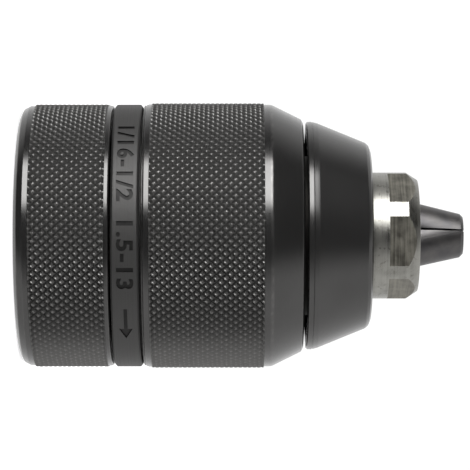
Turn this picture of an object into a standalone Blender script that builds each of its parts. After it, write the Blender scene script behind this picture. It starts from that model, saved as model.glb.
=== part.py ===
"""Keyless two-sleeve drill chuck with a ratchet lock, jaws closed.

The chuck axis is +Z. The rear face that seats on the spindle is at z = 0 and the jaws point to +Z.
All driving dimensions are in millimetres and are scaled to metres by MM.
"""

import math

import bmesh
import bpy
from mathutils import Matrix, Vector

MM = 0.001

# Round sections: number of flats round a full turn, and the corner angle from which an edge is sharp.
RING_STEPS = 48
INNER_STEPS = 36
ROD_STEPS = 24
PIN_STEPS = 12
SHARP_DEG = 20.0

# Body, from the spindle end to the nose.
SEAT_R = 10.1
HUB_R = 10.5
FLANGE_R = 18.8
FLANGE_REAR_Z = 16.2
FLANGE_FRONT_Z = 24.8
RACE_SEAT_R = 15.4
NECK_R = 10.7
BARREL_R = 12.9
BARREL_REAR_Z = 40.3
BARREL_FRONT_Z = 55.0

# Holes along the axis: spindle socket, screw passage and shank bore.
SOCKET_R = 5.85
SOCKET_DEPTH = 14.3
PASSAGE_R = 3.25
SHANK_R = 6.75
SHANK_REAR_Z = 29.0

# Sleeves, size ring and front cap: outer radii and the heights of their ends.
REAR_SLEEVE_R = 21.34
REAR_SLEEVE_Z = (0.0, 14.9)
SIZE_RING_R = 21.31
SIZE_RING_Z = (15.15, 21.0)
GRIP_R = 21.5
GRIP_Z = (19.85, 45.5)
SHELL_BORE_R = 19.9
CAP_R = 18.52
CAP_Z = (46.0, 56.4)

# Jaw rods: three, inclined to the chuck axis and meeting it behind the tips.
JAW_TILT = math.radians(15.0)
JAW_CROSS_Z = 68.7
JAW_TIP_Z = 71.5
JAW_REAR_Z = 31.2
JAW_R = 4.0
JAW_BORE_R = 4.1
JAW_CLOCK_DEG = (90.0, 210.0, 330.0)
FLAT_CLOCK_DEG = -7.8
FLAT_GAP = 0.15
MIN_GRIP_R = 0.75
JAW_BACK_R = 13.6
JAW_TIP_R = 3.05

# Jaw screw thread: one start, right-handed, cut on a cone parallel to the rods.
PITCH = 1.5
NUT_CREST = 3.3
NUT_ROOT = 4.15
RIDGE_HALF_CREST = 0.18
RIDGE_HALF_ROOT = 0.42
TOOTH_FLOOR = 2.9
TOOTH_PLAY = 0.2
TOOTH_FRONT_Z = 61.6
NUT_REAR_Z = 30.4
NUT_FRONT_Z = 40.0
OVERCUT = 0.4

# Nose hexagon.
NOSE_R = 10.26
HEX_APOTHEM = 9.45
HEX_REAR_Z = 59.2
HEX_CLOCK_DEG = 101.9
BODY_FRONT_Z = 64.1

# Thrust bearing: balls and their cage, the fixed race with the ratchet rim, and the nut's race.
BALL_R = 1.0
BALL_CIRCLE_R = 17.2
BALL_Z = 27.75
BALL_COUNT = 16
CAGE_Z = (27.4, 28.1)
FIXED_RACE_Z = (24.9, 26.7)
NUT_RACE_Z = (28.8, 30.3)
RACE_BORE_R = 16.1

# Ratchet and pawl.
TOOTH_PITCH_DEG = 10.0
RATCHET_CREST = 18.5
RATCHET_ROOT = 18.0
PIVOT_R = 19.05
PIVOT_DEG = 60.0
RIVET_R = 0.3
PAWL_ARM_DEG = 34.0
PAWL_ARM_R = (18.75, 19.15)
PAWL_ARM_Z = (27.0, 28.6)
PAWL_SWING_DEG = 3.2
PAWL_TOOTH_DEG = PIVOT_DEG - 29.5

# Driving lugs of the nut's band, and the cam ring that they turn in.
LUG_DEG = (150.0, 330.0)
BAND_Z = (30.6, 38.6)
BAND_R = (16.95, 18.4)
NUT_R = 16.9
SPLIT_GAP = 0.06
CAM_R = (19.35, 19.85)
CAM_Z = (31.0, 37.0)

STEEL = (0.42, 0.42, 0.41, 1.0)
BLACK_STEEL = (0.075, 0.073, 0.072, 1.0)
HARD_STEEL = (0.13, 0.13, 0.135, 1.0)
BEARING_STEEL = (0.62, 0.62, 0.63, 1.0)
SPRING_STEEL = (0.30, 0.27, 0.22, 1.0)


def clear_scene():
    """Remove every object of the starting scene."""
    for item in list(bpy.data.objects):
        bpy.data.objects.remove(item, do_unlink=True)


def make_material(name, colour, roughness, metallic=1.0):
    """A plain Principled material."""
    material = bpy.data.materials.new(name)
    material.use_nodes = True
    shader = material.node_tree.nodes["Principled BSDF"]
    shader.inputs["Base Color"].default_value = colour
    shader.inputs["Roughness"].default_value = roughness
    shader.inputs["Metallic"].default_value = metallic
    material.diffuse_color = colour
    return material


def finish_mesh(name, bm, origin=(0.0, 0.0, 0.0)):
    """Turn a bmesh in world millimetres into an object whose origin is at the given point."""
    bmesh.ops.recalc_face_normals(bm, faces=bm.faces)
    bmesh.ops.translate(bm, verts=bm.verts, vec=-Vector(origin))
    bmesh.ops.scale(bm, verts=bm.verts, vec=(MM, MM, MM))
    mesh = bpy.data.meshes.new(name)
    bm.to_mesh(mesh)
    bm.free()
    item = bpy.data.objects.new(name, mesh)
    item.location = Vector(origin) * MM
    bpy.context.scene.collection.objects.link(item)
    return item


def as_part(item, colour, roughness, smooth=True):
    """Give a finished piece its own material and its shading."""
    item.data.materials.append(make_material(item.name, colour, roughness))
    for face in item.data.polygons:
        face.use_smooth = smooth
    if smooth:
        item.data.set_sharp_from_angle(angle=math.radians(SHARP_DEG))
    return item


def as_cutter(item):
    """Hide a piece that only shapes another one."""
    item.hide_render = True
    item.display_type = "WIRE"
    return item


def combine(item, other, operation):
    """Add an exact Boolean to a piece."""
    step = item.modifiers.new(other.name, "BOOLEAN")
    step.operation = operation
    step.solver = "EXACT"
    step.object = as_cutter(other)


def ring_bmesh(profile, steps):
    """A ring turned about the chuck axis from a closed profile of (radius, height) points."""
    bm = bmesh.new()
    points = [bm.verts.new((radius, 0.0, height)) for radius, height in profile]
    edges = [bm.edges.new((a, b)) for a, b in zip(points, points[1:] + points[:1])]
    bmesh.ops.spin(
        bm,
        geom=points + edges,
        cent=(0.0, 0.0, 0.0),
        axis=(0.0, 0.0, 1.0),
        angle=2.0 * math.pi,
        steps=steps,
        use_merge=True,
    )
    bmesh.ops.remove_doubles(bm, verts=bm.verts, dist=1e-5)
    return bm


def ring(name, profile, steps=RING_STEPS):
    """A turned ring as an object."""
    return finish_mesh(name, ring_bmesh(profile, steps))


def prism_bmesh(outline, low, high):
    """A straight prism with an (x, y) outline between two heights."""
    bm = bmesh.new()
    face = bm.faces.new([bm.verts.new((x, y, low)) for x, y in outline])
    rise = bmesh.ops.extrude_face_region(bm, geom=[face])
    top = [v for v in rise["geom"] if isinstance(v, bmesh.types.BMVert)]
    bmesh.ops.translate(bm, verts=top, vec=(0.0, 0.0, high - low))
    return bm


def polar(radius, degrees):
    """An (x, y) point from a radius and an azimuth."""
    angle = math.radians(degrees)
    return radius * math.cos(angle), radius * math.sin(angle)


def sector(name, radii, heights, degrees, steps):
    """A curved block between two radii, two heights and two azimuths."""
    turn = [degrees[0] + (degrees[1] - degrees[0]) * i / steps for i in range(steps + 1)]
    outline = [polar(radii[0], a) for a in turn]
    outline += [polar(radii[1], a) for a in reversed(turn)]
    return finish_mesh(name, prism_bmesh(outline, *heights))


def rod(name, radius, low, high, centre=(0.0, 0.0), steps=16):
    """A straight round rod parallel to the chuck axis."""
    bm = bmesh.new()
    bmesh.ops.create_cone(
        bm,
        cap_ends=True,
        segments=steps,
        radius1=radius,
        radius2=radius,
        depth=high - low,
        matrix=Matrix.Translation((centre[0], centre[1], (low + high) / 2.0)),
    )
    return finish_mesh(name, bm)


def block(name, low, high):
    """A rectangular block between two corners."""
    size = Vector(high) - Vector(low)
    bm = bmesh.new()
    bmesh.ops.create_cube(bm, size=1.0)
    bmesh.ops.scale(bm, verts=bm.verts, vec=size)
    bmesh.ops.translate(bm, verts=bm.verts, vec=(Vector(low) + Vector(high)) / 2.0)
    return finish_mesh(name, bm)


def rod_point(along, out):
    """(radius, height) of a point on a jaw's axial plane: along its rod and out from its centre line."""
    radius = -along * math.sin(JAW_TILT) + out * math.cos(JAW_TILT)
    height = JAW_CROSS_Z + along * math.cos(JAW_TILT) + out * math.sin(JAW_TILT)
    return radius, height


def cone_radius(height, out):
    """Radius at a height of the cone that lies a distance out from the rods' centre lines."""
    slope = math.tan(JAW_TILT)
    return (JAW_CROSS_Z - height) * slope + out / math.cos(JAW_TILT)


def tilted_rod_bmesh(radius, low, high):
    """A rod along a jaw's centre line in the jaw's own axes, in which X is radial and Z is the chuck axis."""
    bm = bmesh.new()
    turn = Matrix.Rotation(-JAW_TILT, 4, "Y")
    shift = Matrix.Translation((0.0, 0.0, (low + high) / 2.0))
    shift = shift @ Matrix.Rotation(math.pi / ROD_STEPS, 4, "Z")
    bmesh.ops.create_cone(
        bm,
        cap_ends=True,
        segments=ROD_STEPS,
        radius1=radius,
        radius2=radius,
        depth=high - low,
        matrix=turn @ shift,
    )
    return bm


def place_on_jaw(item, clock):
    """Stand a piece made in jaw axes at the jaw's azimuth, with its origin where the rod meets the axis."""
    item.location = (0.0, 0.0, JAW_CROSS_Z * MM)
    item.rotation_euler = (0.0, 0.0, math.radians(clock))
    return item


# Body -----------------------------------------------------------------------------------------


def build_body():
    """Turned body with the spindle socket, the shank bore, three guide bores and the hexagon nose."""
    profile = [
        (SEAT_R, 0.0),
        (HUB_R, 0.4),
        (HUB_R, 12.0),
        (FLANGE_R, FLANGE_REAR_Z),
        (FLANGE_R, FLANGE_FRONT_Z),
        (RACE_SEAT_R, FLANGE_FRONT_Z),
        (RACE_SEAT_R, 30.0),
        (NECK_R, 30.0),
        (NECK_R, BARREL_REAR_Z),
        (BARREL_R, BARREL_REAR_Z),
        (BARREL_R, BARREL_FRONT_Z),
        (NOSE_R, BARREL_FRONT_Z),
        (NOSE_R, BODY_FRONT_Z - 2.0),
        (NOSE_R - 1.26, BODY_FRONT_Z),
        (SHANK_R + 0.55, BODY_FRONT_Z),
        (SHANK_R, BODY_FRONT_Z - 0.6),
        (SHANK_R, SHANK_REAR_Z),
        (PASSAGE_R, SHANK_REAR_Z - 2.0),
        (PASSAGE_R, SOCKET_DEPTH + 1.5),
        (SOCKET_R, SOCKET_DEPTH),
        (SOCKET_R, 0.8),
        (SOCKET_R + 0.75, 0.0),
    ]
    body = ring("chuck_body", profile)
    for number, clock in enumerate(JAW_CLOCK_DEG, 1):
        bore = finish_mesh(f"guide_bore_{number}", tilted_rod_bmesh(JAW_BORE_R, -62.0, 12.0))
        combine(body, place_on_jaw(bore, clock), "DIFFERENCE")
    depth = 5.0
    length = 6.0
    width = 2.0 * HEX_APOTHEM * math.tan(math.radians(30.0)) - 0.28
    sides = bmesh.new()
    for number in range(6):
        bmesh.ops.create_cube(
            sides,
            size=1.0,
            matrix=Matrix.Rotation(math.radians(HEX_CLOCK_DEG + 60.0 * number), 4, "Z")
            @ Matrix.Translation((HEX_APOTHEM + depth / 2.0, 0.0, HEX_REAR_Z + length / 2.0))
            @ Matrix.Diagonal((depth, width, length, 1.0)),
        )
    combine(body, finish_mesh("hexagon_sides", sides), "DIFFERENCE")
    return as_part(body, STEEL, 0.38)


# Fixed rings ----------------------------------------------------------------------------------


def build_fixed_rings():
    """Rear sleeve, size ring and front cone cap, all pressed on the body."""
    low, high = REAR_SLEEVE_Z
    rear = ring(
        "rear_sleeve",
        [
            (REAR_SLEEVE_R - 1.84, low),
            (REAR_SLEEVE_R - 0.79, low + 0.5),
            (REAR_SLEEVE_R - 0.26, low + 1.4),
            (REAR_SLEEVE_R - 0.26, low + 2.2),
            (REAR_SLEEVE_R, low + 2.5),
            (REAR_SLEEVE_R, high - 0.8),
            (REAR_SLEEVE_R - 0.2, high - 0.6),
            (REAR_SLEEVE_R - 0.2, high - 0.2),
            (REAR_SLEEVE_R - 0.4, high),
            (SHELL_BORE_R, high),
            (SHELL_BORE_R, low + 2.2),
            (HUB_R + 0.05, low + 2.2),
            (HUB_R + 0.05, low),
        ],
    )
    as_part(rear, BLACK_STEEL, 0.36)
    low, high = SIZE_RING_Z
    shoulder = high - 1.4
    size_ring = ring(
        "marking_ring",
        [
            (FLANGE_R + 0.05, low),
            (SIZE_RING_R - 0.35, low),
            (SIZE_RING_R, low + 0.35),
            (SIZE_RING_R, shoulder - 0.4),
            (SIZE_RING_R - 0.35, shoulder),
            (SHELL_BORE_R - 0.2, shoulder),
            (SHELL_BORE_R - 0.2, high),
            (FLANGE_R + 0.05, high),
        ],
    )
    as_part(size_ring, BLACK_STEEL, 0.32)
    low, high = CAP_Z
    cap = ring(
        "front_cap",
        [
            (CAP_R - 0.3, low),
            (CAP_R, low + 0.3),
            (CAP_R, low + 0.85),
            (CAP_R - 0.19, low + 1.72),
            (CAP_R - 3.43, high - 0.85),
            (CAP_R - 3.75, high - 0.4),
            (CAP_R - 4.35, high),
            (NOSE_R + 0.1, high),
            (NOSE_R + 0.1, BARREL_FRONT_Z + 0.1),
            (BARREL_R + 0.1, BARREL_FRONT_Z + 0.1),
            (BARREL_R + 0.1, low + 4.8),
            (CAP_R - 1.9, low),
        ],
    )
    as_part(cap, BLACK_STEEL, 0.30)


def build_ratchet():
    """Fixed bearing race whose rim carries the ratchet teeth."""
    base = PAWL_TOOTH_DEG + 0.3
    outline = []
    for number in range(round(360.0 / TOOTH_PITCH_DEG)):
        start = base + TOOTH_PITCH_DEG * number
        outline.append(polar(RATCHET_CREST, start))
        outline.append(polar(RATCHET_ROOT + 0.25, start + TOOTH_PITCH_DEG / 2.0))
        outline.append(polar(RATCHET_ROOT, start + TOOTH_PITCH_DEG - 0.2))
    low, high = FIXED_RACE_Z
    race = finish_mesh("ratchet_race", prism_bmesh(outline, low, high))
    hole = rod("ratchet_race_hole", RACE_BORE_R, low - 1.0, high + 1.0, steps=INNER_STEPS)
    combine(race, hole, "DIFFERENCE")
    return as_part(race, BEARING_STEEL, 0.25)


# Thrust bearing -------------------------------------------------------------------------------


def build_bearing():
    """Balls in an open-pocket cage."""
    inner = BALL_CIRCLE_R - 1.5
    outer = BALL_CIRCLE_R + 0.3
    low, high = CAGE_Z
    cage = ring("ball_cage", [(inner, low), (outer, low), (outer, high), (inner, high)])
    pockets = bmesh.new()
    for number in range(BALL_COUNT):
        x, y = polar(BALL_CIRCLE_R, 360.0 * number / BALL_COUNT)
        bmesh.ops.create_cone(
            pockets,
            cap_ends=True,
            segments=PIN_STEPS,
            radius1=BALL_R + 0.1,
            radius2=BALL_R + 0.1,
            depth=3.0,
            matrix=Matrix.Translation((x, y, BALL_Z)),
        )
    combine(cage, finish_mesh("ball_pockets", pockets), "DIFFERENCE")
    as_part(cage, SPRING_STEEL, 0.4)
    for number in range(BALL_COUNT):
        x, y = polar(BALL_CIRCLE_R, 360.0 * number / BALL_COUNT)
        bm = bmesh.new()
        place = Matrix.Translation((x, y, BALL_Z))
        bmesh.ops.create_icosphere(bm, subdivisions=2, radius=BALL_R, matrix=place)
        ball = finish_mesh(f"ball_{number + 1:02d}", bm, (x, y, BALL_Z))
        as_part(ball, BEARING_STEEL, 0.12)


# Nut ------------------------------------------------------------------------------------------


def thread_cutter(name):
    """Helical groove of the nut: the space left between its thread ridges."""
    step = 2.0 * math.pi / INNER_STEPS
    slope = (RIDGE_HALF_ROOT - RIDGE_HALF_CREST) / (NUT_ROOT - NUT_CREST)
    inner = NUT_CREST - OVERCUT
    wide = PITCH / 2.0 - RIDGE_HALF_CREST + OVERCUT * slope
    narrow = PITCH / 2.0 - RIDGE_HALF_ROOT
    section = [(-wide, inner), (wide, inner), (narrow, NUT_ROOT), (-narrow, NUT_ROOT)]
    rear = (NUT_REAR_Z - JAW_CROSS_Z) / math.cos(JAW_TILT)
    front = (NUT_FRONT_Z - JAW_CROSS_Z) / math.cos(JAW_TILT)
    first = math.floor((rear - 1.5 * PITCH) / PITCH * INNER_STEPS)
    last = math.ceil((front + 0.3 * PITCH) / PITCH * INNER_STEPS)
    bm = bmesh.new()
    rows = []
    for number in range(first, last + 1):
        angle = number * step
        centre = PITCH * (angle / (2.0 * math.pi) + 0.5)
        row = []
        for along, out in section:
            radius, height = rod_point(centre + along, out)
            row.append(bm.verts.new((radius * math.cos(angle), radius * math.sin(angle), height)))
        rows.append(row)
    for one, two in zip(rows, rows[1:]):
        for i in range(4):
            j = (i + 1) % 4
            bm.faces.new((one[i], one[j], two[j], two[i]))
    bm.faces.new(rows[0])
    bm.faces.new(list(reversed(rows[-1])))
    return finish_mesh(name, bm)


def build_nut():
    """Screw nut in two halves, held by a band with two driving lugs, with its bearing race."""
    profile = [
        (cone_radius(NUT_REAR_Z, NUT_CREST), NUT_REAR_Z),
        (NUT_R, NUT_REAR_Z),
        (NUT_R, NUT_FRONT_Z - 0.8),
        (NUT_R - 0.8, NUT_FRONT_Z),
        (cone_radius(NUT_FRONT_Z, NUT_CREST), NUT_FRONT_Z),
    ]
    cutter = thread_cutter("nut_thread_groove")
    away = 25.0
    for name, low, high in (("nut_half_a", -away, SPLIT_GAP), ("nut_half_b", -SPLIT_GAP, away)):
        half = ring(name, profile, INNER_STEPS)
        combine(half, cutter, "DIFFERENCE")
        other_side = block(f"{name}_split", (-away, low, NUT_REAR_Z - 5.0), (away, high, NUT_FRONT_Z + 5.0))
        combine(half, other_side, "DIFFERENCE")
        as_part(half, HARD_STEEL, 0.34)
    inner, outer = BAND_R
    low, high = BAND_Z
    section = [(inner, low), (outer, low), (outer, high), (inner, high)]
    band = ring("nut_band", section, INNER_STEPS)
    for number, middle in enumerate(LUG_DEG, 1):
        span = (middle - 10.0, middle + 10.0)
        lug = sector(f"nut_lug_{number}", (outer - 0.7, outer + 0.8), (33.2, 35.8), span, 4)
        combine(band, lug, "UNION")
    as_part(band, SPRING_STEEL, 0.42)
    low, high = NUT_RACE_Z
    section = [(RACE_BORE_R, low), (outer, low), (outer, high), (RACE_BORE_R, high)]
    race = ring("nut_race", section, INNER_STEPS)
    ear_span = (PIVOT_DEG - 2.4, PIVOT_DEG + 2.4)
    ear = sector("race_ear", (outer - 0.9, PIVOT_R + 0.65), (low + 0.05, high - 0.05), ear_span, 2)
    combine(race, ear, "UNION")
    pivot = polar(PIVOT_R, PIVOT_DEG)
    hole = rod("race_ear_hole", RIVET_R + 0.04, low - 0.8, high + 0.7, pivot, PIN_STEPS)
    combine(race, hole, "DIFFERENCE")
    as_part(race, BEARING_STEEL, 0.25)


def build_pawl():
    """Spring pawl on its rivet, lifted clear of the ratchet."""
    pivot = polar(PIVOT_R, PIVOT_DEG)
    low, high = PAWL_ARM_Z
    origin = (pivot[0], pivot[1], (low + high) / 2.0)
    rivet = rod("pawl_rivet", RIVET_R, low - 0.1, high + 2.0, pivot, PIN_STEPS)
    head = rod("pawl_rivet_head", RIVET_R + 0.18, high + 1.74, high + 2.1, pivot, PIN_STEPS)
    combine(rivet, head, "UNION")
    as_part(rivet, BEARING_STEEL, 0.3)
    steps = 12
    inner, outer = PAWL_ARM_R
    free_end = PIVOT_DEG - PAWL_ARM_DEG
    turn = [free_end + PAWL_ARM_DEG * i / steps for i in range(steps + 1)]
    outline = [polar(inner, a) for a in turn]
    outline += [polar(outer, a) for a in reversed(turn)]
    arm = finish_mesh("pawl", prism_bmesh(outline, low, high), origin)
    inset = 0.1
    tip = [
        polar(inner + inset, free_end + 0.3),
        polar(outer - inset, free_end + 0.3),
        polar(outer - inset, PAWL_TOOTH_DEG + 2.0),
        polar(inner + inset, PAWL_TOOTH_DEG + 2.0),
        polar(inner + inset, PAWL_TOOTH_DEG),
        polar(RATCHET_ROOT + 0.15, PAWL_TOOTH_DEG),
        polar(RATCHET_CREST - 0.08, PAWL_TOOTH_DEG - 4.5),
    ]
    tooth = finish_mesh("pawl_tooth", prism_bmesh(tip, FIXED_RACE_Z[0] + 0.3, high - 0.5), origin)
    eye = rod("pawl_eye", RIVET_R + 0.25, low - 0.15, high + 0.12, pivot, 16)
    hole = rod("pawl_eye_hole", RIVET_R + 0.07, low - 1.0, high + 0.9, pivot, PIN_STEPS)
    for item in (eye, hole):
        item.data.transform(Matrix.Translation(-Vector(origin) * MM))
        item.location = Vector(origin) * MM
    combine(arm, tooth, "UNION")
    combine(arm, eye, "UNION")
    combine(arm, hole, "DIFFERENCE")
    for item in (arm, tooth, eye, hole):
        item.rotation_euler = (0.0, 0.0, math.radians(PAWL_SWING_DEG))
    as_part(arm, SPRING_STEEL, 0.35)


# Turning sleeve -------------------------------------------------------------------------------


def build_turning_sleeve():
    """Gripping sleeve with its front cone, and the cam ring pressed inside it."""
    low, high = GRIP_Z
    lip = GRIP_R - 0.18
    knurl_end = high - 6.35
    sleeve = ring(
        "clamping_sleeve",
        [
            (lip - 0.3, low),
            (lip, low + 0.45),
            (lip, low + 1.35),
            (GRIP_R, low + 1.6),
            (GRIP_R, knurl_end),
            (lip, knurl_end + 0.25),
            (lip, knurl_end + 1.1),
            (lip - 2.55, high - 0.4),
            (lip - 2.95, high),
            (BARREL_R + 0.3, high),
            (BARREL_R + 0.3, high - 1.5),
            (SHELL_BORE_R - 2.5, high - 1.5),
            (SHELL_BORE_R, high - 6.5),
            (SHELL_BORE_R, low),
        ],
    )
    as_part(sleeve, BLACK_STEEL, 0.34)
    inner, outer = CAM_R
    low, high = CAM_Z
    cam = ring("cam_ring", [(inner, low), (outer, low), (outer, high), (inner, high)])
    for number, middle in enumerate(LUG_DEG, 1):
        span = (middle + 38.5, middle + 169.5)
        radii = (BAND_R[1] + 0.15, inner + 0.25)
        stop = sector(f"cam_stop_{number}", radii, (33.3, 35.7), span, 20)
        combine(cam, stop, "UNION")
    span = (PIVOT_DEG - 9.5, PIVOT_DEG - 3.5)
    tongue = sector("cam_tongue", (inner + 0.1, outer - 0.05), (25.2, low + 0.6), span, 3)
    combine(cam, tongue, "UNION")
    as_part(cam, SPRING_STEEL, 0.4)


# Jaws -----------------------------------------------------------------------------------------


def tooth_cutter(name, clock):
    """Row of grooves across the outer side of a jaw, in phase with the nut's thread at its azimuth."""
    slope = (RIDGE_HALF_ROOT - RIDGE_HALF_CREST) / (NUT_ROOT - NUT_CREST)
    rim = JAW_R + OVERCUT
    side = JAW_R + 1.0
    low = RIDGE_HALF_CREST + TOOTH_PLAY + (TOOTH_FLOOR - NUT_CREST) * slope
    high = RIDGE_HALF_CREST + TOOTH_PLAY + (rim - NUT_CREST) * slope
    rear = (JAW_REAR_Z - JAW_CROSS_Z) / math.cos(JAW_TILT)
    front = (TOOTH_FRONT_Z - JAW_CROSS_Z) / math.cos(JAW_TILT)
    bm = bmesh.new()
    number = math.floor(rear / PITCH) - 1
    while PITCH * (clock / 360.0 + number) < front:
        centre = PITCH * (clock / 360.0 + number)
        outline = [(centre - low, TOOTH_FLOOR), (centre + low, TOOTH_FLOOR)]
        outline += [(centre + high, rim), (centre - high, rim)]
        ends = []
        for across in (-side, side):
            corners = []
            for along, out in outline:
                radius, height = rod_point(along, out)
                corners.append(bm.verts.new((radius, across, height - JAW_CROSS_Z)))
            ends.append(corners)
        for i in range(4):
            j = (i + 1) % 4
            bm.faces.new((ends[0][i], ends[0][j], ends[1][j], ends[1][i]))
        bm.faces.new(ends[0])
        bm.faces.new(list(reversed(ends[1])))
        number += 1
    return place_on_jaw(finish_mesh(name, bm), clock)


def flat_cutter(name, clock):
    """Cutter that leaves a jaw its two meeting flats and the narrow gripping edge between them."""
    flat_angle = math.radians(60.0)
    apex = FLAT_GAP / math.sin(flat_angle)
    half = (MIN_GRIP_R - apex) * math.tan(flat_angle)
    far = 14.0
    wide = far * math.sin(flat_angle)
    reach = apex + far * math.cos(flat_angle)
    outline = [(MIN_GRIP_R, half), (reach, wide), (-far, wide)]
    outline += [(-far, -wide), (reach, -wide), (MIN_GRIP_R, -half)]
    item = finish_mesh(name, prism_bmesh(outline, -26.0, 8.0))
    return place_on_jaw(item, clock + FLAT_CLOCK_DEG)


def build_jaws():
    """Three toothed jaw rods, closed on the smallest shank."""
    for number, clock in enumerate(JAW_CLOCK_DEG, 1):
        rear = (JAW_REAR_Z - JAW_CROSS_Z) / math.cos(JAW_TILT)
        jaw = finish_mesh(f"jaw_{number}", tilted_rod_bmesh(JAW_R, rear, 6.0))
        place_on_jaw(jaw, clock)
        combine(jaw, flat_cutter(f"jaw_flats_{number}", clock), "DIFFERENCE")
        combine(jaw, tooth_cutter(f"jaw_teeth_{number}", clock), "DIFFERENCE")
        clear = 2.0 * JAW_R
        end = block(f"jaw_end_{number}", (-clear, -clear, JAW_TIP_Z), (clear, clear, JAW_TIP_Z + clear))
        combine(jaw, end, "DIFFERENCE")
        bevel = [(JAW_TIP_R - 0.1, JAW_TIP_Z + 0.1), (JAW_TIP_R + 0.5, JAW_TIP_Z - 0.5)]
        bevel += [(clear, JAW_TIP_Z - 0.5), (clear, JAW_TIP_Z + 3.0), (JAW_TIP_R - 0.1, JAW_TIP_Z + 3.0)]
        combine(jaw, ring(f"jaw_bevel_{number}", bevel), "DIFFERENCE")
        side = block(f"jaw_back_{number}", (JAW_BACK_R, -clear, -50.0), (JAW_BACK_R + clear, clear, -20.0))
        combine(jaw, place_on_jaw(side, clock), "DIFFERENCE")
        as_part(jaw, HARD_STEEL, 0.36)


clear_scene()
build_body()
build_fixed_rings()
build_ratchet()
build_bearing()
build_nut()
build_pawl()
build_turning_sleeve()
build_jaws()
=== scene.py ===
"""Studio scene of a keyless drill chuck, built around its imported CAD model.

The chuck axis is +Z, the rear face stands at z = 0 and the jaws point up. Shapes are worked out in
millimetres from the CAD nodes' boxes and scaled to metres by MM.
"""

import math

import bmesh
import bpy
import numpy as np
from mathutils import Matrix, Vector


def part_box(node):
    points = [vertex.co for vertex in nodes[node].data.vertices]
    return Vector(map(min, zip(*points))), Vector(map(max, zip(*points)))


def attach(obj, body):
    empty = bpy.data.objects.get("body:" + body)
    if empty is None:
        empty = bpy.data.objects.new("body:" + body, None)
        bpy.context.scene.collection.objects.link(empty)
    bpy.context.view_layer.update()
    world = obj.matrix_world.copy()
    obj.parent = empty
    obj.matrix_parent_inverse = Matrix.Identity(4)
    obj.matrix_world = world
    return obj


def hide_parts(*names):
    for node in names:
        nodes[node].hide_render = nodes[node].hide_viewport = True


MM = 0.001

# Facets round a full turn, for rings, the body, the marked ring, rods and the thread.
RING_STEPS = 240
BODY_STEPS = 192
MARK_STEPS = 360
ROD_STEPS = 72
THREAD_STEPS = 48

# Diamond knurl: diamonds round the sleeve, their length along the axis, and samples in each.
KNURL_COUNT = 102
KNURL_LENGTH = 1.5
KNURL_SAMPLES = 6
KNURL_DEPTH = 0.36
KNURL_FLAT = 2.0 / 3.0
KNURL_CROWN = 0.03
KNURL_END = 0.16

# Bore of both knurled sleeves.
SHELL_BORE_R = 19.9

# Jaws: rods inclined to the chuck axis, and their screw teeth.
JAW_TILT = math.radians(15.0)
JAW_CROSS_Z = 68.7
JAW_R = 3.98
JAW_BORE_R = 4.1
JAW_CLOCK_DEG = (90.0, 210.0, 330.0)
JAW_FLAT_CLOCK_DEG = -7.8
JAW_FLAT_GAP = 0.15
JAW_GRIP_R = 0.75
JAW_BACK_R = 13.6
JAW_REAR_Z = 31.2
TEETH_FRONT_Z = 61.6
TOOTH_PITCH = 1.5
TOOTH_FLOOR = 2.86
TOOTH_FLOOR_HALF = 0.3
TOOTH_MOUTH_HALF = 0.73

# Body: spindle end, holes along the axis, and the nose with its hexagon.
HUB_R = 10.5
NECK_R = 10.7
BARREL_R = 12.9
BARREL_Z = (40.3, 55.0)
FLANGE_R = 18.8
NOSE_R = 10.26
SOCKET_R = 5.85
SOCKET_DEPTH = 14.3
SPINDLE_THREAD_R = 6.3
SPINDLE_PITCH = 1.27
SPINDLE_THREAD_DEPTH = 12.6
PASSAGE_R = 3.25
SHANK_R = 6.75
HEX_APOTHEM = 9.45
HEX_REAR_Z = 59.2
HEX_CLOCK_DEG = 101.9

# Size marks on the ring: text, first and last azimuth; letter foot, height, depth and weight; the arrow.
MARKS = (("1/16-1/2", -137.5, -98.0), ("1.5-13", -89.6, -60.6))
MARK_FOOT = 0.92
MARK_HEIGHT = 2.7
MARK_DEPTH = 0.2
TEXT_WEIGHT = 0.035
ARROW_DEG = -51.0
ARROW_LENGTH = 6.2

# Camera: azimuth round the chuck, distance, width seen at the axis, middle of the view and sideways shift.
VIEW_DEG = -83.6
VIEW_DISTANCE = 410.0
VIEW_WIDTH = 76.56
VIEW_CENTRE_Z = 34.52
VIEW_RISE = 0.086
SENSOR = 36.0

# Black oxide's two tones, and a lighter colour for the knurled zone that is painted sheen, standing in for
# ambient light reflected off the knurl flanks.
OXIDE_DARK = (0.058, 0.057, 0.056, 1.0)
OXIDE_LIGHT = (0.068, 0.067, 0.066, 1.0)
KNURL_PAINTED_SHEEN = (0.13, 0.128, 0.125, 1.0)

# Softbox: azimuth of its middle, half its width and height in degrees, its radiance and the dark side's.
SOFTBOX_DEG = -131.6
SOFTBOX_HALF_WIDTH = 21.5
SOFTBOX_HALF_HEIGHT = 24.0
SOFTBOX_RADIANCE = 10.5
ROOM_DARK = 0.13


# Meshes ---------------------------------------------------------------------------------------


def polar(radius, degrees):
    """An (x, y) point from a radius and an azimuth."""
    angle = math.radians(degrees)
    return radius * math.cos(angle), radius * math.sin(angle)


def extent(node):
    """Outer radius, low end and high end of a turned CAD node, in millimetres."""
    low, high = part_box(node)
    return high.x / MM, low.z / MM, high.z / MM


def link(name, mesh):
    """A new object in the scene for a finished mesh."""
    item = bpy.data.objects.new(name, mesh)
    bpy.context.scene.collection.objects.link(item)
    return item


def from_bmesh(name, bm):
    """An object from a bmesh in millimetres."""
    bmesh.ops.recalc_face_normals(bm, faces=bm.faces)
    bmesh.ops.scale(bm, verts=bm.verts, vec=(MM, MM, MM))
    mesh = bpy.data.meshes.new(name)
    bm.to_mesh(mesh)
    bm.free()
    return link(name, mesh)


def shade(item, sharp_deg):
    """Smooth shading, with sharp edges from the given corner angle."""
    item.data.polygons.foreach_set("use_smooth", [True] * len(item.data.polygons))
    item.data.set_sharp_from_angle(angle=math.radians(sharp_deg))


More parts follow.
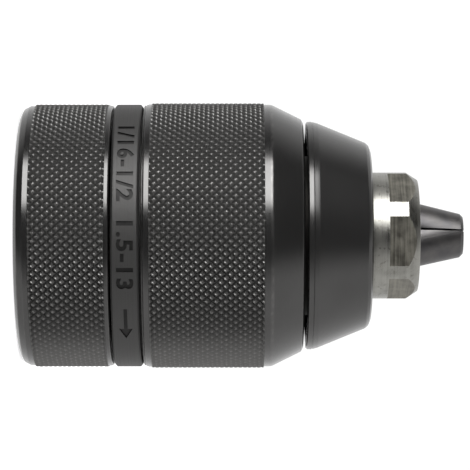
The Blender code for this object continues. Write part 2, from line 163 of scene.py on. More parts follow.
def rounded(corners, steps=4):
    """Outline points (radius, height, edge) of (radius, height, fillet) corners; edge is 1 on a fillet."""
    outline = []
    count = len(corners)
    for i, (radius, height, fillet) in enumerate(corners):
        corner = Vector((radius, height))
        if fillet == 0.0:
            outline.append((radius, height, 0.0))
            continue
        back = Vector(corners[i - 1][:2]) - corner
        ahead = Vector(corners[(i + 1) % count][:2]) - corner
        half = back.angle(ahead) / 2.0
        reach = min(fillet / math.tan(half), 0.45 * back.length, 0.45 * ahead.length)
        size = reach * math.tan(half)
        centre = corner + (back.normalized() + ahead.normalized()).normalized() * size / math.sin(half)
        first = corner + back.normalized() * reach - centre
        last = corner + ahead.normalized() * reach - centre
        turn = first.angle_signed(last)
        for step in range(steps + 1):
            spoke = first.copy()
            spoke.rotate(Matrix.Rotation(-turn * step / steps, 2))
            edge = math.sin(math.pi * step / steps)
            outline.append((centre.x + spoke.x, centre.y + spoke.y, edge))
    return outline


def revolve(name, outline, steps):
    """A turned ring from a closed outline, with the wear attribute on its rounded edges."""
    outline = np.array(outline)
    angles = np.arange(steps) * 2.0 * math.pi / steps
    rows = len(outline)
    points = np.empty((rows, steps, 3))
    points[:, :, 0] = outline[:, :1] * np.cos(angles)
    points[:, :, 1] = outline[:, :1] * np.sin(angles)
    points[:, :, 2] = outline[:, 1:2]
    row, column = np.meshgrid(np.arange(rows), np.arange(steps), indexing="ij")
    below = row * steps + column
    beside = row * steps + (column + 1) % steps
    above = (row + 1) % rows * steps + column
    across = (row + 1) % rows * steps + (column + 1) % steps
    faces = np.stack([below, beside, across, above], axis=-1).reshape(-1, 4)
    mesh = bpy.data.meshes.new(name)
    mesh.from_pydata((points.reshape(-1, 3) * MM).tolist(), [], faces.tolist())
    wear = mesh.attributes.new("wear", "FLOAT", "POINT")
    wear.data.foreach_set("value", np.repeat(outline[:, 2], steps).astype(np.float32))
    item = link(name, mesh)
    outward(item)
    return item


def outward(item):
    """Turn every face of a closed mesh to point out."""
    bm = bmesh.new()
    bm.from_mesh(item.data)
    bmesh.ops.recalc_face_normals(bm, faces=bm.faces)
    bm.to_mesh(item.data)
    bm.free()


def knurled(name, before, zone, after):
    """A turned ring with diamond knurling on its outside between two heights.

    The outline runs up through the points before, the knurled zone and the points after.
    """
    crest_r, low, high = zone
    step = KNURL_LENGTH / KNURL_SAMPLES
    columns = KNURL_COUNT * KNURL_SAMPLES
    heights = low + step * np.arange(round((high - low) / step) + 1)
    first = len(before)
    rows = first + len(heights) + len(after)
    plain = np.array(before + [(crest_r, z, 0.0) for z in heights] + after)
    angles = np.arange(columns) * 2.0 * math.pi / columns
    radius = np.repeat(plain[:, :1], columns, axis=1)
    wear = np.repeat(plain[:, 2:], columns, axis=1)
    along, around = np.meshgrid(np.arange(len(heights)), np.arange(columns), indexing="ij")
    one = np.abs((around + along) / KNURL_SAMPLES % 1.0 - 0.5)
    two = np.abs((around - along) / KNURL_SAMPLES % 1.0 - 0.5)
    slope = 1.0 - 2.0 * np.maximum(one, two)
    crown = np.where(slope > 0.99, KNURL_CROWN, 0.0)
    ends = np.minimum(heights - low, high - heights) / KNURL_END
    ends = np.clip(ends, 0.0, 1.0)[:, None]
    raised = np.minimum(slope / KNURL_FLAT, 1.0)
    zone_rows = slice(first, first + len(heights))
    radius[zone_rows] = crest_r - KNURL_CROWN + (crown - (1.0 - raised) * KNURL_DEPTH) * ends
    wear[zone_rows] = np.clip(raised * 3.0 - 2.0, 0.0, 1.0)
    points = np.empty((rows, columns, 3))
    points[:, :, 0] = radius * np.cos(angles)
    points[:, :, 1] = radius * np.sin(angles)
    points[:, :, 2] = plain[:, 1:2]
    faces = []
    knurl_faces = []
    for i in range(rows):
        upper = (i + 1) % rows * columns
        lower = i * columns
        in_zone = first <= i < first + len(heights) - 1
        for j in range(columns):
            k = (j + 1) % columns
            quad = (lower + j, lower + k, upper + k, upper + j)
            if not in_zone:
                faces.append(quad)
                knurl_faces.append(False)
                continue
            if (i - first + j + 1) % KNURL_SAMPLES == 0:
                faces.append((quad[0], quad[1], quad[3]))
                faces.append((quad[1], quad[2], quad[3]))
            else:
                faces.append((quad[0], quad[1], quad[2]))
                faces.append((quad[0], quad[2], quad[3]))
            knurl_faces += [True, True]
    mesh = bpy.data.meshes.new(name)
    mesh.from_pydata((points.reshape(-1, 3) * MM).tolist(), [], faces)
    grip = np.zeros((rows, columns), dtype=np.float32)
    grip[zone_rows] = 1.0
    for key, values in (("wear", wear), ("grip", grip)):
        attribute = mesh.attributes.new(key, "FLOAT", "POINT")
        attribute.data.foreach_set("value", values.reshape(-1).astype(np.float32))
    item = link(name, mesh)
    outward(item)
    shade(item, 25.0)
    mesh.polygons.foreach_set("use_smooth", [not flat for flat in knurl_faces])
    return item


def combine(item, other, operation):
    """Apply an exact Boolean and remove the other object."""
    step = item.modifiers.new(other.name, "BOOLEAN")
    step.operation = operation
    step.solver = "EXACT"
    step.object = other
    graph = bpy.context.evaluated_depsgraph_get()
    mesh = bpy.data.meshes.new_from_object(item.evaluated_get(graph))
    item.modifiers.remove(step)
    item.data = mesh
    bpy.data.objects.remove(other, do_unlink=True)


def merge_slivers(item):
    """Close up the near-zero edges that the cuts leave."""
    bm = bmesh.new()
    bm.from_mesh(item.data)
    bmesh.ops.dissolve_degenerate(bm, dist=1e-7, edges=bm.edges)
    bm.to_mesh(item.data)
    bm.free()


def rod_point(along, out):
    """(radius, height) on a jaw's axial plane: along its rod and out from its centre line."""
    radius = -along * math.sin(JAW_TILT) + out * math.cos(JAW_TILT)
    height = JAW_CROSS_Z + along * math.cos(JAW_TILT) + out * math.sin(JAW_TILT)
    return radius, height


def tilted_rod(name, radius, low, high, clock):
    """A rod along a jaw's centre line, between two distances from the point where it meets the axis."""
    bm = bmesh.new()
    place = Matrix.Translation((0.0, 0.0, JAW_CROSS_Z))
    place = place @ Matrix.Rotation(math.radians(clock), 4, "Z") @ Matrix.Rotation(-JAW_TILT, 4, "Y")
    place = place @ Matrix.Translation((0.0, 0.0, (low + high) / 2.0))
    place = place @ Matrix.Rotation(math.pi / ROD_STEPS, 4, "Z")
    bmesh.ops.create_cone(
        bm,
        cap_ends=True,
        segments=ROD_STEPS,
        radius1=radius,
        radius2=radius,
        depth=high - low,
        matrix=place,
    )
    return from_bmesh(name, bm)


def prism(name, outline, low, high, clock=0.0):
    """A straight prism with an (x, y) outline between two heights, turned about the chuck axis."""
    bm = bmesh.new()
    face = bm.faces.new([bm.verts.new((x, y, low)) for x, y in outline])
    rise = bmesh.ops.extrude_face_region(bm, geom=[face])
    top = [v for v in rise["geom"] if isinstance(v, bmesh.types.BMVert)]
    bmesh.ops.translate(bm, verts=top, vec=(0.0, 0.0, high - low))
    bmesh.ops.rotate(bm, verts=bm.verts, matrix=Matrix.Rotation(math.radians(clock), 3, "Z"))
    return from_bmesh(name, bm)


# Materials ------------------------------------------------------------------------------------


def add(tree, kind, sockets=None, output=0, **settings):
    """Add a node, set or link its inputs, and return one of its outputs."""
    item = tree.nodes.new(kind)
    for key, value in settings.items():
        setattr(item, key, value)
    for key, value in (sockets or {}).items():
        if isinstance(value, bpy.types.NodeSocket):
            tree.links.new(value, item.inputs[key])
        else:
            item.inputs[key].default_value = value
    return item.outputs[output]


def maths(tree, operation, *values):
    """A Math node."""
    return add(tree, "ShaderNodeMath", dict(enumerate(values)), operation=operation)


def remap(tree, value, from_low, from_high, to_low, to_high):
    """A value stretched from one range to another and kept inside it."""
    sockets = {0: value, 1: from_low, 2: from_high, 3: to_low, 4: to_high}
    return add(tree, "ShaderNodeMapRange", sockets)


def mixed(tree, factor, one, two):
    """A colour between two others."""
    sockets = {0: factor, 6: one, 7: two}
    return add(tree, "ShaderNodeMix", sockets, output=2, data_type="RGBA")


def grains(tree, place, size, detail=3.0, stretch=None):
    """Noise whose features are about size millimetres, at a place in metres."""
    if stretch:
        place = add(tree, "ShaderNodeMapping", {0: place, 3: stretch})
    sockets = {"Vector": place, "Scale": 1.0 / (size * MM), "Detail": detail}
    return add(tree, "ShaderNodeTexNoise", sockets)


def tool_lines(tree, place, spacing):
    """Fine circular tool marks about the chuck axis, on both cylinders and end faces."""
    parts = tree.nodes.new("ShaderNodeSeparateXYZ")
    tree.links.new(place, parts.inputs[0])
    square = maths(tree, "MULTIPLY", parts.outputs[0], parts.outputs[0])
    square = maths(tree, "MULTIPLY_ADD", parts.outputs[1], parts.outputs[1], square)
    radius = maths(tree, "SQRT", square)
    depth = maths(tree, "MULTIPLY_ADD", radius, 0.9, parts.outputs[2])
    sockets = {"W": depth, "Scale": 1.0 / (spacing * MM), "Detail": 3.0, "Roughness": 0.6}
    return add(tree, "ShaderNodeTexNoise", sockets, noise_dimensions="1D")


def bumped(tree, height, strength, distance, normal=None):
    """A bump of the given depth in millimetres."""
    sockets = {"Strength": strength, "Distance": distance * MM, "Height": height}
    if normal:
        sockets["Normal"] = normal
    return add(tree, "ShaderNodeBump", sockets)


def new_material(name):
    """An empty metal material: its tree, its shader and its object coordinates in metres."""
    material = bpy.data.materials.new(name)
    material.use_nodes = True
    tree = material.node_tree
    shader = tree.nodes["Principled BSDF"]
    place = add(tree, "ShaderNodeTexCoord", output=3)
    return material, tree, shader, place


def wire(tree, shader, colour, roughness, normal):
    """Link a material's colour, roughness and normal."""
    tree.links.new(colour, shader.inputs["Base Color"])
    tree.links.new(roughness, shader.inputs["Roughness"])
    tree.links.new(normal, shader.inputs["Normal"])


def black_oxide(name, dark, light, smooth, rough, line_depth, wear_amount):
    """Black oxide on turned steel: mottled, with faint tool marks, bare metal on worn edges and a painted
    sheen that lightens the knurled zone.
    """
    material, tree, shader, place = new_material(name)
    cloud = grains(tree, place, 9.0, 3.0)
    speck = grains(tree, place, 0.22, 2.0)
    lines = tool_lines(tree, place, 0.22)
    colour = mixed(tree, remap(tree, cloud, 0.3, 0.7, 0.0, 1.0), dark, light)
    scuff = remap(tree, grains(tree, place, 1.1, 4.0), 0.45, 0.7, 0.25 * wear_amount, wear_amount)
    grip = add(tree, "ShaderNodeAttribute", output=2, attribute_name="grip")
    # Painted sheen: the knurled zone is lightened in place of light reflected off its flanks.
    colour = mixed(tree, maths(tree, "MULTIPLY", grip, 0.6), colour, KNURL_PAINTED_SHEEN)
    wear = add(tree, "ShaderNodeAttribute", output=2, attribute_name="wear")
    wear = maths(tree, "MULTIPLY", wear, scuff)
    colour = mixed(tree, wear, colour, (0.34, 0.33, 0.32, 1.0))
    fine = maths(tree, "MULTIPLY_ADD", speck, 0.5, maths(tree, "MULTIPLY", lines, 0.5))
    roughness = remap(tree, maths(tree, "MULTIPLY_ADD", cloud, 0.5, fine), 0.55, 0.95, smooth, rough)
    roughness = maths(tree, "MULTIPLY_ADD", grip, 0.2, roughness)
    normal = bumped(tree, lines, 0.6, line_depth)
    normal = bumped(tree, speck, 0.35, 0.004, normal)
    wire(tree, shader, colour, roughness, normal)
    shader.inputs["Metallic"].default_value = 0.9
    shader.inputs["Specular IOR Level"].default_value = 0.5
    return material


def turned_steel(name):
    """Bare turned steel with circular tool marks."""
    material, tree, shader, place = new_material(name)
    lines = tool_lines(tree, place, 0.16)
    coarse = tool_lines(tree, place, 0.9)
    cloud = grains(tree, place, 3.0, 4.0)
    tone = maths(tree, "MULTIPLY_ADD", cloud, 0.6, maths(tree, "MULTIPLY", coarse, 0.4))
    blend = remap(tree, tone, 0.35, 0.65, 0.0, 1.0)
    colour = mixed(tree, blend, (0.165, 0.162, 0.148, 1), (0.28, 0.276, 0.255, 1))
    pits = remap(tree, grains(tree, place, 0.7, 2.0), 0.62, 0.7, 0.0, 0.55)
    colour = mixed(tree, pits, colour, (0.09, 0.085, 0.07, 1.0))
    roughness = remap(tree, maths(tree, "MULTIPLY_ADD", lines, 0.5, tone), 0.5, 1.0, 0.22, 0.4)
    normal = bumped(tree, lines, 0.8, 0.012)
    normal = bumped(tree, coarse, 0.5, 0.02, normal)
    wire(tree, shader, colour, roughness, normal)
    shader.inputs["Metallic"].default_value = 1.0
    shader.inputs["Anisotropic"].default_value = 0.3
    return material


def milled_steel(name):
    """Matt milled flats with coarse cutter marks across the axis."""
    material, tree, shader, place = new_material(name)
    marks = grains(tree, place, 1.0, 4.0, stretch=(0.12, 0.12, 3.2))
    cloud = grains(tree, place, 1.6, 4.0)
    tone = maths(tree, "MULTIPLY_ADD", cloud, 0.5, maths(tree, "MULTIPLY", marks, 0.5))
    blend = remap(tree, tone, 0.38, 0.62, 0.0, 1.0)
    colour = mixed(tree, blend, (0.105, 0.1, 0.085, 1), (0.23, 0.221, 0.19, 1))
    roughness = remap(tree, tone, 0.35, 0.65, 0.42, 0.58)
    normal = bumped(tree, marks, 0.8, 0.03)
    wire(tree, shader, colour, roughness, normal)
    shader.inputs["Metallic"].default_value = 1.0
    return material


def jaw_steel(name):
    """Dark hardened jaw steel, ground smooth, with a faint straw and blue temper."""
    material, tree, shader, place = new_material(name)
    cloud = grains(tree, place, 2.2, 4.0)
    lines = grains(tree, place, 0.3, 4.0, stretch=(1.0, 1.0, 0.12))
    blend = remap(tree, cloud, 0.35, 0.65, 0.0, 1.0)
    colour = mixed(tree, blend, (0.075, 0.073, 0.075, 1), (0.1, 0.096, 0.094, 1))
    roughness = remap(tree, maths(tree, "MULTIPLY_ADD", cloud, 0.5, lines), 0.5, 1.0, 0.36, 0.46)
    normal = bumped(tree, lines, 0.5, 0.008)
    wire(tree, shader, colour, roughness, normal)
    shader.inputs["Metallic"].default_value = 1.0
    return material


def plain_steel(name, dark, light, smooth, rough, spacing):
    """Steel of the sealed inner pieces: machined lines over a two-tone finish."""
    material, tree, shader, place = new_material(name)
    cloud = grains(tree, place, 2.0, 4.0)
    lines = tool_lines(tree, place, spacing)
    tone = maths(tree, "MULTIPLY_ADD", cloud, 0.6, maths(tree, "MULTIPLY", lines, 0.4))
    colour = mixed(tree, remap(tree, tone, 0.35, 0.65, 0.0, 1.0), dark, light)
    roughness = remap(tree, tone, 0.35, 0.65, smooth, rough)
    normal = bumped(tree, lines, 0.5, 0.01)
    wire(tree, shader, colour, roughness, normal)
    shader.inputs["Metallic"].default_value = 1.0
    return material


def dress(item, material, body=None, replaced=None):
    """Give a piece its only material and, for a new piece, attach it to its body and hide the CAD node it
    replaces.
    """
    item.data.materials.clear()
    item.data.materials.append(material)
    if body:
        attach(item, body)
        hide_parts(replaced)


# Sleeves, ring and cap ------------------------------------------------------------------------


def rear_sleeve():
    """Fixed rear sleeve: rounded rear lip, knurled grip and front lip."""
    outer, low, high = extent("rear_sleeve")
    inner = SHELL_BORE_R
    knurl = (outer, low + 2.35, low + 14.1)
    corners = [
        (HUB_R + 0.05, low, 0.0),
        (outer - 1.84, low, 0.4),
        (outer - 0.76, low + 0.5, 0.5),
        (outer - 0.26, low + 1.45, 0.25),
        (outer - 0.26, low + 2.25, 0.0),
        (outer - 0.16, high - 0.76, 0.0),
        (outer - 0.18, high - 0.2, 0.15),
        (outer - 0.42, high, 0.1),
        (inner, high, 0.15),
        (inner, low + 2.2, 0.0),
        (HUB_R + 0.05, low + 2.2, 0.0),
    ]
    outline = rounded(corners)
    split = next(i for i, point in enumerate(outline) if point[1] > low + 10.0)
    return knurled("rear_sleeve_knurled", outline[:split], knurl, outline[split:])


def clamping_sleeve():
    """Turning sleeve: rear lip, long knurled grip, front lip and cone."""
    outer, low, high = extent("clamping_sleeve")
    inner = SHELL_BORE_R
    knurl = (outer, low + 1.3, low + 1.3 + 18.0)
    front = knurl[2]
    corners = [
        (inner, low, 0.1),
        (outer - 0.45, low, 0.1),
        (outer - 0.25, low + 0.18, 0.06),
        (outer - 0.45, low + 0.28, 0.04),
        (outer - 0.2, low + 0.42, 0.12),
        (outer - 0.16, low + 1.22, 0.0),
        (outer - 0.22, front + 0.06, 0.0),
        (outer - 0.22, high - 5.1, 1.6),
        (outer - 2.6, high - 0.3, 0.25),
        (outer - 3.15, high, 0.08),
        (BARREL_R + 0.3, high, 0.0),
        (BARREL_R + 0.3, high - 1.5, 0.0),
        (inner - 2.5, high - 1.5, 0.0),
        (inner, high - 6.5, 0.0),
    ]
    outline = rounded(corners)
    split = next(i for i, point in enumerate(outline) if point[1] > low + 10.0)
    return knurled("clamping_sleeve_knurled", outline[:split], knurl, outline[split:])


def front_cap():
    """Smooth front cone, pressed on the body."""
    outer, low, high = extent("front_cap")
    corners = [
        (outer - 0.25, low, 0.1),
        (outer - 0.02, low + 0.2, 0.1),
        (outer, low + 0.9, 0.05),
        (outer - 0.14, low + 0.98, 0.03),
        (outer - 0.06, low + 1.1, 0.05),
        (outer - 0.25, low + 1.85, 0.5),
        (outer - 3.4, high - 0.8, 0.5),
        (outer - 3.85, high - 0.3, 0.4),
        (outer - 4.6, high, 0.3),
        (NOSE_R + 0.1, high, 0.1),
        (NOSE_R + 0.1, BARREL_Z[1] + 0.1, 0.0),
        (BARREL_R + 0.1, BARREL_Z[1] + 0.1, 0.0),
        (BARREL_R + 0.1, low + 4.8, 0.0),
        (outer - 1.9, low, 0.0),
    ]
    item = revolve("front_cap_cone", rounded(corners, 6), RING_STEPS)
    shade(item, 30.0)
    return item


def text_cutter(text, first_deg, last_deg, radius, foot):
    """Raised letters of one size mark, bent round the ring and sunk into it."""
    curve = bpy.data.curves.new("mark_text", "FONT")
    curve.body = text
    curve.extrude = 0.5
    curve.offset = TEXT_WEIGHT
    curve.space_character = 1.12
    curve.resolution_u = 3
    item = link("mark_text", curve)
    graph = bpy.context.evaluated_depsgraph_get()
    mesh = bpy.data.meshes.new_from_object(item.evaluated_get(graph))
    bpy.data.objects.remove(item, do_unlink=True)
    bm = bmesh.new()
    bm.from_mesh(mesh)
    bmesh.ops.remove_doubles(bm, verts=bm.verts, dist=1e-5)
    place = np.array([v.co for v in bm.verts])
    low = place.min(axis=0)
    span = place.max(axis=0) - low
    length = math.radians(last_deg - first_deg) * radius
    for vert in bm.verts:
        vert.co.x = (vert.co.x - low[0]) / span[0] * length
        vert.co.y = (vert.co.y - low[1]) / span[1] * MARK_HEIGHT
    cuts = math.ceil(length / 0.6)
    for cut in range(1, cuts):
        bmesh.ops.bisect_plane(
            bm,
            geom=bm.verts[:] + bm.edges[:] + bm.faces[:],
            dist=1e-6,
            plane_co=(length * cut / cuts, 0.0, 0.0),
            plane_no=(1.0, 0.0, 0.0),
        )
    for vert in bm.verts:
        out = radius + (0.3 if vert.co.z > 0.0 else -MARK_DEPTH)
        x, y = polar(out, first_deg + math.degrees(vert.co.x / radius))
        vert.co = (x, y, foot + vert.co.y)
    bmesh.ops.triangulate(bm, faces=bm.faces)
    return from_bmesh("mark_cutter", bm)


def arrow_cutter(radius, foot):
    """A plain turning arrow, bent round the ring after the numerals."""
    middle = MARK_HEIGHT / 2.0
    neck = ARROW_LENGTH - 2.2
    outline = [(0.0, middle - 0.28), (neck, middle - 0.28), (neck, middle - 1.05), (ARROW_LENGTH, middle)]
    outline += [(neck, middle + 1.05), (neck, middle + 0.28), (0.0, middle + 0.28)]
    bm = bmesh.new()
    face = bm.faces.new([bm.verts.new((x, y, -1.0)) for x, y in outline])
    rise = bmesh.ops.extrude_face_region(bm, geom=[face])
    top = [v for v in rise["geom"] if isinstance(v, bmesh.types.BMVert)]
    bmesh.ops.translate(bm, verts=top, vec=(0.0, 0.0, 2.0))
    for cut in range(1, 10):
        bmesh.ops.bisect_plane(
            bm,
            geom=bm.verts[:] + bm.edges[:] + bm.faces[:],
            dist=1e-6,
            plane_co=(ARROW_LENGTH * cut / 10.0, 0.0, 0.0),
            plane_no=(1.0, 0.0, 0.0),
        )
    for vert in bm.verts:
        out = radius + (0.3 if vert.co.z > 0.0 else -MARK_DEPTH)
        x, y = polar(out, ARROW_DEG + math.degrees(vert.co.x / radius))
        vert.co = (x, y, foot + vert.co.y)
    return from_bmesh("arrow_cutter", bm)


def marking_ring():
    """Size ring with its engraved numerals and a plain arrow."""
    outer, low, high = extent("marking_ring")
    shoulder = high - 1.4
    corners = [
        (FLANGE_R + 0.05, low, 0.0),
        (outer - 0.4, low, 0.1),
        (outer, low + 0.35, 0.15),
        (outer, shoulder - 0.35, 0.15),
        (outer - 0.4, shoulder, 0.1),
        (19.7, shoulder, 0.0),
        (19.7, high, 0.0),
        (FLANGE_R + 0.05, high, 0.0),
    ]
    item = revolve("marking_ring_engraved", rounded(corners), MARK_STEPS)
    foot = low + MARK_FOOT
    for text, first_deg, last_deg in MARKS:
        combine(item, text_cutter(text, first_deg, last_deg, outer, foot), "DIFFERENCE")
    combine(item, arrow_cutter(outer, foot), "DIFFERENCE")
    shade(item, 30.0)
    radial_normals(item, outer)
    return item


def paint_marks(item, radius, material):
    """Give the sunken letters their own dark material."""
    item.data.materials.append(material)
    low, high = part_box("marking_ring")
    shoulder = high.z / MM - 1.75
    for face in item.data.polygons:
        middle = face.center / MM
        out = middle.xy.length
        in_band = low.z / MM + 0.6 < middle.z < shoulder
        if in_band and radius - 0.3 < out < radius - 0.012:
            face.material_index = 1


def radial_normals(item, radius):
    """Point the normals of the outer cylinder straight out, so that cuts in it don't show as dents."""
    mesh = item.data
    places = np.empty(len(mesh.vertices) * 3)
    mesh.vertices.foreach_get("co", places)
    places = places.reshape(-1, 3) / MM
    on_rim = np.abs(np.hypot(places[:, 0], places[:, 1]) - radius) < 0.004
    normals = np.array([corner.vector for corner in mesh.corner_normals])
    for face in mesh.polygons:
        corners = list(face.vertices)
        if not on_rim[corners].all() or abs(face.normal.z) > 0.1:
            continue
        for loop, vertex in zip(face.loop_indices, corners):
            flat = places[vertex] * (1.0, 1.0, 0.0)
            normals[loop] = flat / np.linalg.norm(flat)
    mesh.normals_split_custom_set(normals.tolist())


# Body -----------------------------------------------------------------------------------------


def chuck_body():
    """Turned body with its holes, threaded spindle socket, guide bores and milled nose."""
    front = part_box("chuck_body")[1].z / MM
    corners = [
        (HUB_R, 0.0, 0.3),
        (HUB_R, 12.0, 1.0),
        (FLANGE_R, 16.2, 0.2),
        (FLANGE_R, 24.8, 0.2),
        (15.4, 24.8, 0.3),
        (15.4, 30.0, 0.2),
        (NECK_R, 30.0, 0.3),
        (NECK_R, BARREL_Z[0], 0.3),
        (BARREL_R, BARREL_Z[0], 0.3),
        (BARREL_R, BARREL_Z[1], 0.3),
        (NOSE_R, BARREL_Z[1], 0.0),
        (NOSE_R, front - 1.85, 0.2),
        (NOSE_R - 1.2, front, 0.12),
        (SHANK_R + 0.55, front, 0.1),
        (SHANK_R, front - 0.6, 0.2),
        (SHANK_R, 29.0, 0.3),
        (PASSAGE_R, 27.0, 0.2),
        (PASSAGE_R, SOCKET_DEPTH + 1.5, 0.2),
        (SOCKET_R, SOCKET_DEPTH, 0.0),
        (SOCKET_R, 0.8, 0.0),
        (SOCKET_R + 0.75, 0.0, 0.0),
    ]
    body = revolve("chuck_body_turned", rounded(corners), BODY_STEPS)
    for number, clock in enumerate(JAW_CLOCK_DEG, 1):
        combine(body, tilted_rod(f"guide_bore_{number}", JAW_BORE_R, -62.0, 12.0, clock), "DIFFERENCE")
    reach = 14.0
    half = HEX_APOTHEM * math.tan(math.radians(30.0)) - 0.14
    side = [(HEX_APOTHEM, -half), (reach, -half), (reach, half), (HEX_APOTHEM, half)]
    for number in range(6):
        clock = HEX_CLOCK_DEG + 60.0 * number
        combine(body, prism(f"hexagon_{number}", side, HEX_REAR_Z, front + 1.0, clock), "DIFFERENCE")
    combine(body, thread_cutter(), "DIFFERENCE")
    merge_slivers(body)
    shade(body, 22.0)
    return body


def thread_cutter():
    """The spindle socket's thread groove: a tapering wedge wound along the socket from its mouth."""
    steps = round(SPINDLE_THREAD_DEPTH / SPINDLE_PITCH * THREAD_STEPS)
    bm = bmesh.new()
    rings = []
    for step in range(steps + 1):
        height = -1.0 + SPINDLE_PITCH * step / THREAD_STEPS
        fade = min(1.0, (steps - step) / 30.0)
        crest = SOCKET_R - 0.15 + (SPINDLE_THREAD_R - SOCKET_R + 0.15) * fade
        x, y = polar(1.0, 360.0 * step / THREAD_STEPS)
        section = [(SOCKET_R - 0.2, -0.6), (crest, -0.08), (crest, 0.08), (SOCKET_R - 0.2, 0.6)]
        rings.append([bm.verts.new((radius * x, radius * y, height + rise)) for radius, rise in section])
    for one, two in zip(rings, rings[1:]):
        for i in range(4):
            j = (i + 1) % 4
            bm.faces.new((one[i], one[j], two[j], two[i]))
    bm.faces.new(rings[0])
    bm.faces.new(rings[-1])
    bmesh.ops.triangulate(bm, faces=bm.faces)
    return from_bmesh("thread_cutter", bm)


def paint_body(body, milled, barrel_shade):
    """Give the milled flats of the nose their own material, and the middle of the body, under the sleeves
    and cap, a darker one as painted shade.
    """
    body.data.materials.append(milled)
    body.data.materials.append(barrel_shade)
    for face in body.data.polygons:
        middle = face.center / MM
        # Painted shade: the middle of the body, under the sleeves and cap, gets a darker steel.
        if 15.0 < middle.z < BARREL_Z[1] + 0.5 and middle.xy.length > SOCKET_R:
            face.material_index = 2
        if middle.z < HEX_REAR_Z - 0.1:
            continue
        out = face.normal.xy.length
        if out > 0.98 and abs(face.normal.xy.dot(middle.xy) - HEX_APOTHEM) < 0.01:
            face.material_index = 1
        if abs(middle.z - HEX_REAR_Z) < 0.01 and face.normal.z > 0.9:
            face.material_index = 1


# Jaws -----------------------------------------------------------------------------------------


def jaw_teeth(number, clock, rear):
    """Grooves across the outer side of a jaw, in phase with the nut's thread."""
    front = (TEETH_FRONT_Z - JAW_CROSS_Z) / math.cos(JAW_TILT)
    rim = JAW_R + 0.4
    turn = Matrix.Rotation(math.radians(clock), 3, "Z")
    bm = bmesh.new()
    index = math.floor(rear / TOOTH_PITCH) - 1
    while TOOTH_PITCH * (clock / 360.0 + index) < front:
        centre = TOOTH_PITCH * (clock / 360.0 + index)
        outline = [(centre - TOOTH_FLOOR_HALF, TOOTH_FLOOR), (centre + TOOTH_FLOOR_HALF, TOOTH_FLOOR)]
        outline += [(centre + TOOTH_MOUTH_HALF, rim), (centre - TOOTH_MOUTH_HALF, rim)]
        ends = []
        for across in (-5.0, 5.0):
            corners = []
            for along, out in outline:
                radius, height = rod_point(along, out)
                corners.append(bm.verts.new(turn @ Vector((radius, across, height))))
            ends.append(corners)
        for i in range(4):
            j = (i + 1) % 4
            bm.faces.new((ends[0][i], ends[0][j], ends[1][j], ends[1][i]))
        bm.faces.new(ends[0])
        bm.faces.new(list(reversed(ends[1])))
        index += 1
    return from_bmesh(f"jaw_teeth_{number}", bm)


def jaw(number, clock):
    """One jaw rod: two meeting flats, a narrow gripping edge, screw teeth and a bevelled tip."""
    low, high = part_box(f"jaw_{number}")
    tip = high.z / MM
    rear = (JAW_REAR_Z - JAW_CROSS_Z) / math.cos(JAW_TILT)
    item = tilted_rod(f"jaw_{number}_ground", JAW_R, rear, 6.0, clock)
    slant = math.radians(60.0)
    apex = JAW_FLAT_GAP / math.sin(slant)
    half = (JAW_GRIP_R - apex) * math.tan(slant)
    far = 14.0
    wide = far * math.sin(slant)
    reach = apex + far * math.cos(slant)
    outline = [(JAW_GRIP_R, half), (reach, wide), (-far, wide)]
    outline += [(-far, -wide), (reach, -wide), (JAW_GRIP_R, -half)]
    flats = prism(f"jaw_flats_{number}", outline, 30.0, 90.0, clock + JAW_FLAT_CLOCK_DEG)
    combine(item, flats, "DIFFERENCE")
    combine(item, jaw_teeth(number, clock, rear), "DIFFERENCE")
    square = [(-9.0, -9.0), (9.0, -9.0), (9.0, 9.0), (-9.0, 9.0)]
    combine(item, prism(f"jaw_end_{number}", square, tip, tip + 9.0), "DIFFERENCE")
    bevel = [(2.95, tip + 0.1, 0.0), (3.55, tip - 0.5, 0.0), (9.0, tip - 0.5, 0.0)]
    bevel += [(9.0, tip + 3.0, 0.0), (2.95, tip + 3.0, 0.0)]
    combine(item, revolve(f"jaw_bevel_{number}", bevel, RING_STEPS), "DIFFERENCE")
    side = [(JAW_BACK_R, -6.0), (20.0, -6.0), (20.0, 6.0), (JAW_BACK_R, 6.0)]
    combine(item, prism(f"jaw_back_{number}", side, 18.0, 50.0, clock), "DIFFERENCE")
    shade(item, 24.0)
    return item


# Studio ---------------------------------------------------------------------------------------


def camera():
    """Camera level with the middle of the chuck and turned so that the jaws point right."""
    angle = math.radians(VIEW_DEG)
    back = Vector((math.cos(angle), math.sin(angle), 0.0))
    right = Vector((0.0, 0.0, 1.0))
    up = back.cross(right)
    aim = Vector((0.0, 0.0, VIEW_CENTRE_Z)) + up * VIEW_RISE
    data = bpy.data.cameras.new("camera")
    data.sensor_width = SENSOR
    data.lens = SENSOR * VIEW_DISTANCE / VIEW_WIDTH
    data.clip_start = 0.01
    item = bpy.data.objects.new("camera", data)
    bpy.context.scene.collection.objects.link(item)
    turn = Matrix((right, up, back)).transposed()
    item.matrix_world = Matrix.Translation((aim + back * VIEW_DISTANCE) * MM) @ turn.to_4x4()
    bpy.context.scene.camera = item


